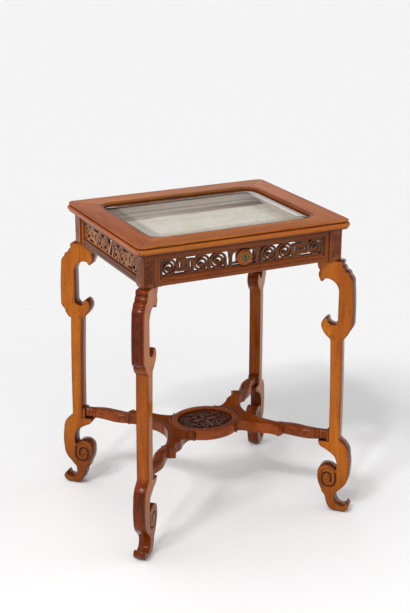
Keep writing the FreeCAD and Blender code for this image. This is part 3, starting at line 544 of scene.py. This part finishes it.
def wood(name, along, seed, carving=None, outline=None, **changes):
    finish = {**woodFinish, **changes}
    net = paint(name)
    place = net.place()
    start = (seed, seed * 0.7, seed * 0.4)
    space = net.stretch(grainSpace(net, place, along), (1.0, 1.0, 1.0), start)
    figure = net.noise(space, *finish["figure"])
    cloud = net.noise(space, *finish["cloud"])
    streak = net.noise(space, *finish["streak"])
    pores = net.noise(space, *finish["pores"])

    def body(colours):
        clouds = cloud.ramp(*finish["cloudRange"]) * finish["cloudShare"]
        streaks = streak.ramp(*finish["streakRange"]) * finish["streakShare"]
        tone = net.blend(figure.ramp(*finish["figureRange"]), colours["mid"], colours["pale"])
        tone = net.blend(clouds, tone, colours["dark"])
        return net.blend(streaks, tone, colours["dark"])

    colour = body(finish)
    if outline:
        out, across, z = legSpace(net, place)
        shaft = z.span(*outlineStain["shaft"]) * outlineStain["shaftLess"]
        redder = across.size().fade(*outlineStain["across"]) * (1.0 - shaft)
        colour = net.blend(redder, colour, body(outline))
    # painted shade: the legs' colour darkens towards the floor
    height = net.axes(place)[2]
    least, clouded = finish["footCloud"]
    foot = height.fade(*finish["footRise"]) * finish["footShade"] * (least + cloud * clouded)
    colour = net.blend(foot, colour, finish["dark"])
    openPores = pores.ramp(*finish["poreRange"])
    colour = net.blend(openPores * finish["poreShare"], colour, finish["poreAndShade"])

    # painted shade darkens every recess and the carving, and every edge a little
    occlusion = {"samples": finish["samples"], "only_local": False}
    reach = {"Distance": finish["recessReach"]}
    light = net.add("ShaderNodeAmbientOcclusion", occlusion, reach, 1)
    shade = (1.0 - light).ramp(*finish["recessRange"]) * finish["recessDepth"]
    rounding = {"samples": finish["samples"]}
    normal = net.add("ShaderNodeBevel", rounding, {"Radius": finish["edgeRound"]})
    sharp = net.add("ShaderNodeNewGeometry", output=1)
    alike = net.add("ShaderNodeVectorMath", {"operation": "DOT_PRODUCT"}, [sharp, normal], 1)
    shade = shade.most((1.0 - alike).ramp(*finish["edgeTurn"]) * finish["edgeShade"])
    if finish["darkWalls"] is not None:
        # painted shade: the sawn walls of the piercings are darkened nearly to black
        facing = net.axes(sharp)[finish["darkWalls"]].size()
        shade = shade.most(facing.fade(*finish["wallRange"]) * finish["wallShade"])
    if carving:
        relief, cut = carving(net, place)
        shade = shade.most(cut)
        normal = net.bump(relief, finish["reliefStrength"], finish["reliefDepth"], normal)
    colour = net.blend(shade, colour, finish["poreAndShade"])
    grain = streak - openPores * finish["poreDepth"]
    normal = net.bump(grain, finish["grainStrength"], finish["grainDepth"], normal)
    rough = finish["roughness"] + figure * finish["figureRoughness"]
    return net.surface(
        Base_Color=colour, Roughness=rough + shade * finish["shadeRoughness"], Normal=normal,
        Coat_Weight=finish["coat"] * (1.0 - shade * finish["shadeCoat"]),
        Coat_Roughness=finish["coatRoughness"], Specular_IOR_Level=finish["gloss"],
    )


def stain(pale, mid, dark, **changes):
    return {"pale": rgb(*pale), "mid": rgb(*mid), "dark": rgb(*dark), **changes}


def dress(material, *names):
    for name in names:
        nodes[name].material_slots[0].material = material


def named(start, keys):
    return [start + key for key in keys]


lidFinish = {"gloss": 0.14, "edgeRound": 0.002, "edgeShade": 0.5, "streakShare": 0.6}
lidRailWood = stain((200, 118, 42), (174, 92, 25), (116, 50, 9), **lidFinish)
lidStileWood = stain((184, 100, 48), (158, 76, 33), (108, 42, 16), **lidFinish)
beadWood = stain((112, 56, 18), (80, 32, 8), (40, 13, 3))
dress(wood("lidRailWood", "x", 1.3, linedLid, **lidRailWood), "lid_rail_front", "lid_rail_back")
dress(wood("lidStileWood", "y", 2.1, linedLid, **lidStileWood), "lid_stile_left", "lid_stile_right")
dress(wood("glassBeadWood", "x", 3.0, **beadWood), *named("glass_bead_", sides))

brownWood = stain((132, 68, 20), (100, 44, 9), (52, 17, 2))
railWood = stain((170, 90, 28), (136, 62, 13), (76, 29, 4))
dress(wood("bedWoodFront", "x", 4.4, **brownWood), "bed_moulding_front", "bed_moulding_back")
dress(wood("bedWoodSide", "y", 4.9, **brownWood), "bed_moulding_left", "bed_moulding_right")
for kind in ("upper_rail_", "lower_rail_"):
    dress(wood(kind + "long", "x", 5.2, **railWood), kind + "front", kind + "back")
    dress(wood(kind + "short", "y", 5.8, **brownWood), kind + "left", kind + "right")
dress(wood("postWood", "z", 6.6, carvedPost, **railWood), *named("corner_post_", corners))

# darkWalls is the axis that a fret's front faces along: all that faces another way is a
# sawn wall, darkened as painted shade.
fretFinish = {"recessReach": 0.005, "edgeRound": 0.0022}
fretWood = stain((128, 72, 28), (92, 44, 14), (42, 15, 4), darkWalls=1, **fretFinish)
# painted light: the end frets get a paler copy of the fret wood, as if lit from the left
litFretWood = stain((190, 118, 58), (152, 84, 34), (66, 26, 6), darkWalls=0, **fretFinish)
fretLong = carvedFret(**fretCarving["long"])
fretShort = carvedFret(**fretCarving["short"])
dress(wood("fretWoodLong", "x", 7.1, fretLong, **fretWood), "fret_front", "fret_back")
dress(wood("fretWoodShort", "y", 7.5, fretShort, **litFretWood), "fret_left", "fret_right")
dress(wood("bossWood", "z", 7.9, **railWood), "fret_boss")

legFinish = {"edgeRound": 0.006, "edgeShade": 0.60, "gloss": 0.18, "coat": 0.0, "footShade": 0.55}
redWood = stain((134, 54, 2), (100, 29, 0), (50, 10, 0))
dress(wood("legWood", "z", 8.3, carvedLeg, redWood, **legFinish), *named("leg_", corners))

stretcherFinish = {"edgeRound": 0.0035, "edgeShade": 0.50, "gloss": 0.22, "coat": 0.0}
stretcherWood = stain((154, 72, 10), (116, 46, 4), (56, 16, 0), **stretcherFinish)
roundelFinish = {"recessReach": 0.005, "reliefDepth": 0.003, "gloss": 0.22}
roundelWood = stain((146, 68, 32), (108, 44, 20), (56, 18, 7), **roundelFinish)
dress(wood("barWood", "bar", 9.4, carvedBar, **stretcherWood), *named("stretcher_bar_", corners))
dress(wood("yokeWood", "y", 1.9, carvedYoke, **stretcherWood), *named("stretcher_yoke_", pair))
dress(wood("ringWood", "x", 2.8, carvedRing, **stretcherWood), "stretcher_ring")
dress(wood("roundelWood", "x", 3.9, carvedRoundel, **roundelWood), "stretcher_roundel")

boardFinish = {"coat": 0.0, "gloss": 0.1, "roughness": 0.7}
dress(wood("boardWood", "x", 4.9, **brownWood, **boardFinish), "tray_board")
print("wood done")


# Glass: a clear pane that mirrors the room at a low angle, and more on its wide bevel.
paneFinish = {
    "tint": (1.0, 0.995, 0.985, 1.0),
    "polish": 0.02,
    "mirrorLeast": 0.03,
    "mirrorMost": 0.80,
    "mirrorPower": 5.0,
    "bevelWidth": 0.034,
    "bevelSoft": 0.001,
    "bevelSlope": 0.05,
    "bevelMirror": 0.17,
    "arrisWidth": 0.004,
    "arrisMirror": 0.17,
}


def pane():
    plan = paneFinish
    net = paint("bevelledGlass")
    x, y, z = net.axes(net.place())
    inward = openingReach(x, y)
    width = plan["bevelWidth"]
    bevel = inward.fade(width - plan["bevelSoft"], width + plan["bevelSoft"])
    arris = inward.line(width, plan["arrisWidth"])
    tilted = net.bump(inward.least(width) * plan["bevelSlope"], 1.0, 1.0)
    clear = net.add("ShaderNodeBsdfTransparent", None, {"Color": plan["tint"]})
    mirrorInputs = {"Color": (1.0, 1.0, 1.0, 1.0), "Roughness": plan["polish"], "Normal": tilted}
    mirror = net.add("ShaderNodeBsdfGlossy", None, mirrorInputs)
    facing = net.add("ShaderNodeLayerWeight", None, {"Blend": 0.5}, 1)
    share = facing ** plan["mirrorPower"] * plan["mirrorMost"] + plan["mirrorLeast"]
    share = share + bevel * plan["bevelMirror"] + arris * plan["arrisMirror"]
    return net.finish(net.add("ShaderNodeMixShader", None, [share, clear, mirror]))


dress(pane(), "lid_glass")


# Silk: pale woven cloth with water marks, foxing, a greenish bloom, two dark lines on the
# floor (a painted shadow at the foot of the right wall, a faint line under the glass's left
# bevel) and a brown band at the back.
silkFinish = {
    "clean": rgb(255, 252, 245),
    "aged": rgb(252, 242, 224),
    "green": rgb(226, 218, 184),
    "stain": rgb(176, 146, 106),
    "brown": rgb(104, 64, 32),
    "wide": (11.0, 5.0, 0.65, 0.8),
    "wideRange": (0.42, 0.62),
    "wideShares": (0.35, 0.4),
    "fine": (75.0, 6.0, 0.72, 0.3),
    "fineRange": (0.54, 0.70),
    "fineShares": (0.20, 0.30),
    "drift": (12.0, 3.0, 0.6, 1.0),
    "driftStretch": (1.0, 3.2, 1.0),
    "driftShift": (2.0, 0.0, 0.0),
    "driftRange": (0.50, 0.68),
    "driftReach": 0.03,
    "greenShare": 0.45,
    "backBand": (0.112, 0.128, 0.150, 0.163),
    "backBandMiddle": 0.55,
    "backBandRightward": 1.8,
    "backBandLimits": (0.45, 0.95),
    "climbFrom": 0.150,
    "climb": (0.7055, 0.7085),
    "climbShares": (0.1, 0.8),
    "floorLines": ((0.190, 0.0022, 1.0), (-0.163, 0.002, 0.4)),
    "floorLineShare": 0.6,
    "threadScale": 900.0,
    "threadHeight": 0.5,
    "bumpStrength": 0.25,
    "bumpDepth": 0.0004,
    "roughness": 0.6,
    "sheen": 0.2,
}


def silk():
    plan = silkFinish
    net = paint("agedSilk")
    place = net.place()
    x, y, z = net.axes(place)
    wide = net.noise(place, *plan["wide"])
    fine = net.noise(place, *plan["fine"])
    drift = net.noise(net.stretch(place, plan["driftStretch"], plan["driftShift"]), *plan["drift"])
    flat = z < table["silkFloor"]
    # of each pair of shares, the second is what the floor has more than the walls; the walls are
    # kept cleaner and paler as painted light against their shade
    walls, more = plan["wideShares"]
    aged = wide.ramp(*plan["wideRange"]) * (walls + flat * more)
    green = drift.ramp(*plan["driftRange"]) * flat * plan["greenShare"]
    walls, more = plan["fineShares"]
    foxed = fine.ramp(*plan["fineRange"]) * (walls + flat * more)
    body = net.blend(aged, plan["clean"], plan["aged"])
    body = net.blend(green, body, plan["green"])
    body = net.blend(foxed, body, plan["stain"])
    # the brown band is strongest at the right and also runs up the foot of the back wall
    least, most = plan["backBandLimits"]
    strength = (plan["backBandMiddle"] + x * plan["backBandRightward"]).most(least).least(most)
    backBand = (y + (drift - 0.5) * plan["driftReach"]).span(*plan["backBand"]) * flat
    body = net.blend(backBand * strength, body, plan["brown"])
    least, speckled = plan["climbShares"]
    climb = z.fade(*plan["climb"]) * (1.0 - flat) * (y > plan["climbFrom"])
    body = net.blend(climb * (least + fine * speckled), body, plan["brown"])
    # painted shadow along the foot of the right wall, and a faint dark line under the glass's left
    # bevel
    floorLine = grooves(x, plan["floorLines"]) * flat
    body = net.blend(floorLine * plan["floorLineShare"], body, plan["stain"])
    scale = plan["threadScale"] * 2 * math.pi
    weave = (x * scale).maths("SINE") * (y * scale).maths("SINE")
    height = weave * plan["threadHeight"] + fine
    normal = net.bump(height, plan["bumpStrength"], plan["bumpDepth"])
    return net.surface(
        Base_Color=body, Roughness=plan["roughness"], Sheen_Weight=plan["sheen"], Normal=normal
    )


dress(silk(), "tray_silk_floor", "tray_silk_walls")


# Metals, in patches of two colours.
metalFinish = {
    "patches": (4.0, 0.6, 0.3),
    "patchRange": (0.35, 0.65),
    "patchRoughness": 0.2,
    "metallic": 0.9,
    "bumpStrength": 0.15,
    "bumpDepth": 0.0003,
}


def metal(name, bright, dull, roughness, patchScale):
    plan = metalFinish
    net = paint(name)
    patch = net.noise(net.place(), patchScale, *plan["patches"])
    body = net.blend(patch.ramp(*plan["patchRange"]), bright, dull)
    normal = net.bump(patch, plan["bumpStrength"], plan["bumpDepth"])
    rough = roughness + patch * plan["patchRoughness"]
    return net.surface(Base_Color=body, Metallic=plan["metallic"], Roughness=rough, Normal=normal)


plateFinish = {
    "bright": rgb(136, 112, 66),
    "dull": rgb(82, 84, 48),
    "groove": rgb(38, 34, 20),
    "lines": ((0.0052, 0.0014, 1.0), (0.0078, 0.0012, 1.0)),
    "grooveShare": 0.8,
    "drop": 0.0006,
    "patchScale": 260.0,
    "patchHeight": 0.3,
    "metallic": 0.55,
    "roughness": 0.4,
    "bumpStrength": 0.6,
    "bumpDepth": 0.0005,
}


def escutcheon():
    # greened brass with turned rings round the keyhole
    plan = plateFinish
    net = paint("greenedBrass")
    place = net.place()
    x, y, z = net.axes(place)
    dz = z - table["fretMid"] + plan["drop"]
    patch = net.noise(place, plan["patchScale"], *metalFinish["patches"])
    rings = grooves((x * x + dz * dz) ** 0.5, plan["lines"])
    body = net.blend(patch.ramp(*metalFinish["patchRange"]), plan["bright"], plan["dull"])
    body = net.blend(rings * plan["grooveShare"], body, plan["groove"])
    height = patch * plan["patchHeight"] - rings
    normal = net.bump(height, plan["bumpStrength"], plan["bumpDepth"])
    rough = plan["roughness"] + patch * metalFinish["patchRoughness"]
    return net.surface(Base_Color=body, Metallic=plan["metallic"], Roughness=rough, Normal=normal)


dress(escutcheon(), "keyhole_plate")
brass = metal("dullBrass", rgb(176, 144, 84), rgb(110, 84, 46), 0.32, 160.0)
steel = metal("oldSteel", rgb(150, 146, 140), rgb(86, 80, 74), 0.35, 200.0)
dress(brass, *named("hinge_lid_leaf_", pair), *named("hinge_case_leaf_", pair))
dress(brass, "lock_case", "strike_plate", "lid_screws", "hinge_case_screws")
dress(steel, *named("hinge_pin_", pair), "lock_bolt")
print("glass, silk and metal done")


# Floor: one wide plane that reads as a white sweep and keeps the shadows, painted darker away
# behind the table as painted shade.
floorFinish = {
    "reach": 30.0,
    "near": rgb(250, 250, 250),
    "far": rgb(237, 237, 237),
    "fading": (-0.55, 1.0),
    "roughness": 0.95,
    "gloss": 0.1,
}
# the level direction that leads away behind the table, a little to the right
farWay = (0.44, 0.90)


def farness(x, y):
    return x * farWay[0] + y * farWay[1]


def floor():
    mesh = bpy.data.meshes.new("floor")
    bm = bmesh.new()
    bmesh.ops.create_grid(bm, x_segments=1, y_segments=1, size=floorFinish["reach"])
    bm.to_mesh(mesh)
    bm.free()
    ground = bpy.data.objects.new("floor", mesh)
    scene.collection.objects.link(ground)
    net = paint("whiteFloor")
    x, y, z = net.axes(net.place())
    # painted shade: the floor darkens away behind the table
    away = farness(x, y).ramp(*floorFinish["fading"])
    tone = net.blend(away, floorFinish["near"], floorFinish["far"])
    rough, gloss = floorFinish["roughness"], floorFinish["gloss"]
    white = net.surface(Base_Color=tone, Roughness=rough, Specular_IOR_Level=gloss)
    ground.data.materials.append(white)


floor()

# Lamps, each with its bearing, height and width in degrees and its power: a soft key from
# the left and front, a small hard one that puts the sparkle on the varnish, and wide weak
# ones all round.
lampSetup = {
    "key": (208.0, 46.0, 13.0, 1.10),
    "sparkle": (224.0, 48.0, 4.0, 0.48),
    "wideLeft": (165.0, 42.0, 50.0, 0.52),
    "wideFront": (262.0, 36.0, 50.0, 0.58),
    "wideRight": (335.0, 44.0, 50.0, 0.45),
    "wideTop": (100.0, 70.0, 34.0, 0.42),
}


def sun(name, bearing, height, width, power):
    lamp = bpy.data.lights.new(name, "SUN")
    lamp.energy = power
    lamp.angle = math.radians(width)
    thing = bpy.data.objects.new(name, lamp)
    toLamp = Vector((
        math.cos(math.radians(bearing)) * math.cos(math.radians(height)),
        math.sin(math.radians(bearing)) * math.cos(math.radians(height)),
        math.sin(math.radians(height)),
    ))
    thing.rotation_mode = "QUATERNION"
    thing.rotation_quaternion = toLamp.to_track_quat("Z", "Y")
    scene.collection.objects.link(thing)


for lampName, values in lampSetup.items():
    sun(lampName, *values)

# Room: dim, so the varnish stays deep, dimmer still high behind the table, and pale along
# the horizon. Heights run from 0, level, to 1, straight up.
roomSetup = {
    "level": 0.37,
    "zenith": (0.78, 0.97),
    "zenithLess": 0.25,
    "behind": (0.40, 0.72),
    "behindDark": (0.230, 0.272, 0.66, 0.78),
    "behindLess": 0.88,
    "behindPale": (0.225, 0.266),
    "behindGlow": 0.8,
    "horizon": (0.12, 0.20),
    "horizonGlow": 0.6,
}


def room():
    plan = roomSetup
    scene.world = bpy.data.worlds.new("room")
    net = Net(scene.world, "ShaderNodeOutputWorld")
    x, y, z = net.axes(net.place(0))
    behind = farness(x, y).ramp(*plan["behind"])
    # a dimmer zenith keeps the shadow under the lid soft
    overhead = 1.0 - z.ramp(*plan["zenith"]) * plan["zenithLess"]
    dark = behind * z.span(*plan["behindDark"]) * plan["behindLess"]
    pale = behind * z.fade(*plan["behindPale"]) * plan["behindGlow"]
    band = (1.0 - behind) * z.fade(*plan["horizon"]) * plan["horizonGlow"]
    glow = overhead * (1.0 - dark) * plan["level"] + pale + band
    net.finish(net.add("ShaderNodeBackground", None, {"Strength": glow}))


room()

# Metres and degrees; the lens and the sensor are in millimetres.
cameraSetup = {
    "place": (-1.3144, -2.6547, 1.5457),
    "turn": 26.324,
    "down": 19.376,
    "roll": 0.235,
    "lens": 76.82,
    "sensor": 36.0,
}


def camera():
    data = bpy.data.cameras.new("camera")
    data.sensor_width = cameraSetup["sensor"]
    data.lens = cameraSetup["lens"]
    thing = bpy.data.objects.new("camera", data)
    turn = Matrix.Rotation(-math.radians(cameraSetup["turn"]), 4, "Z")
    tilt = Matrix.Rotation(math.radians(90.0 - cameraSetup["down"]), 4, "X")
    roll = Matrix.Rotation(math.radians(cameraSetup["roll"]), 4, "Z")
    thing.matrix_world = Matrix.Translation(cameraSetup["place"]) @ turn @ tilt @ roll
    scene.collection.objects.link(thing)
    scene.camera = thing


camera()
scene.view_settings.view_transform = "Standard"
print("lamps and camera done")
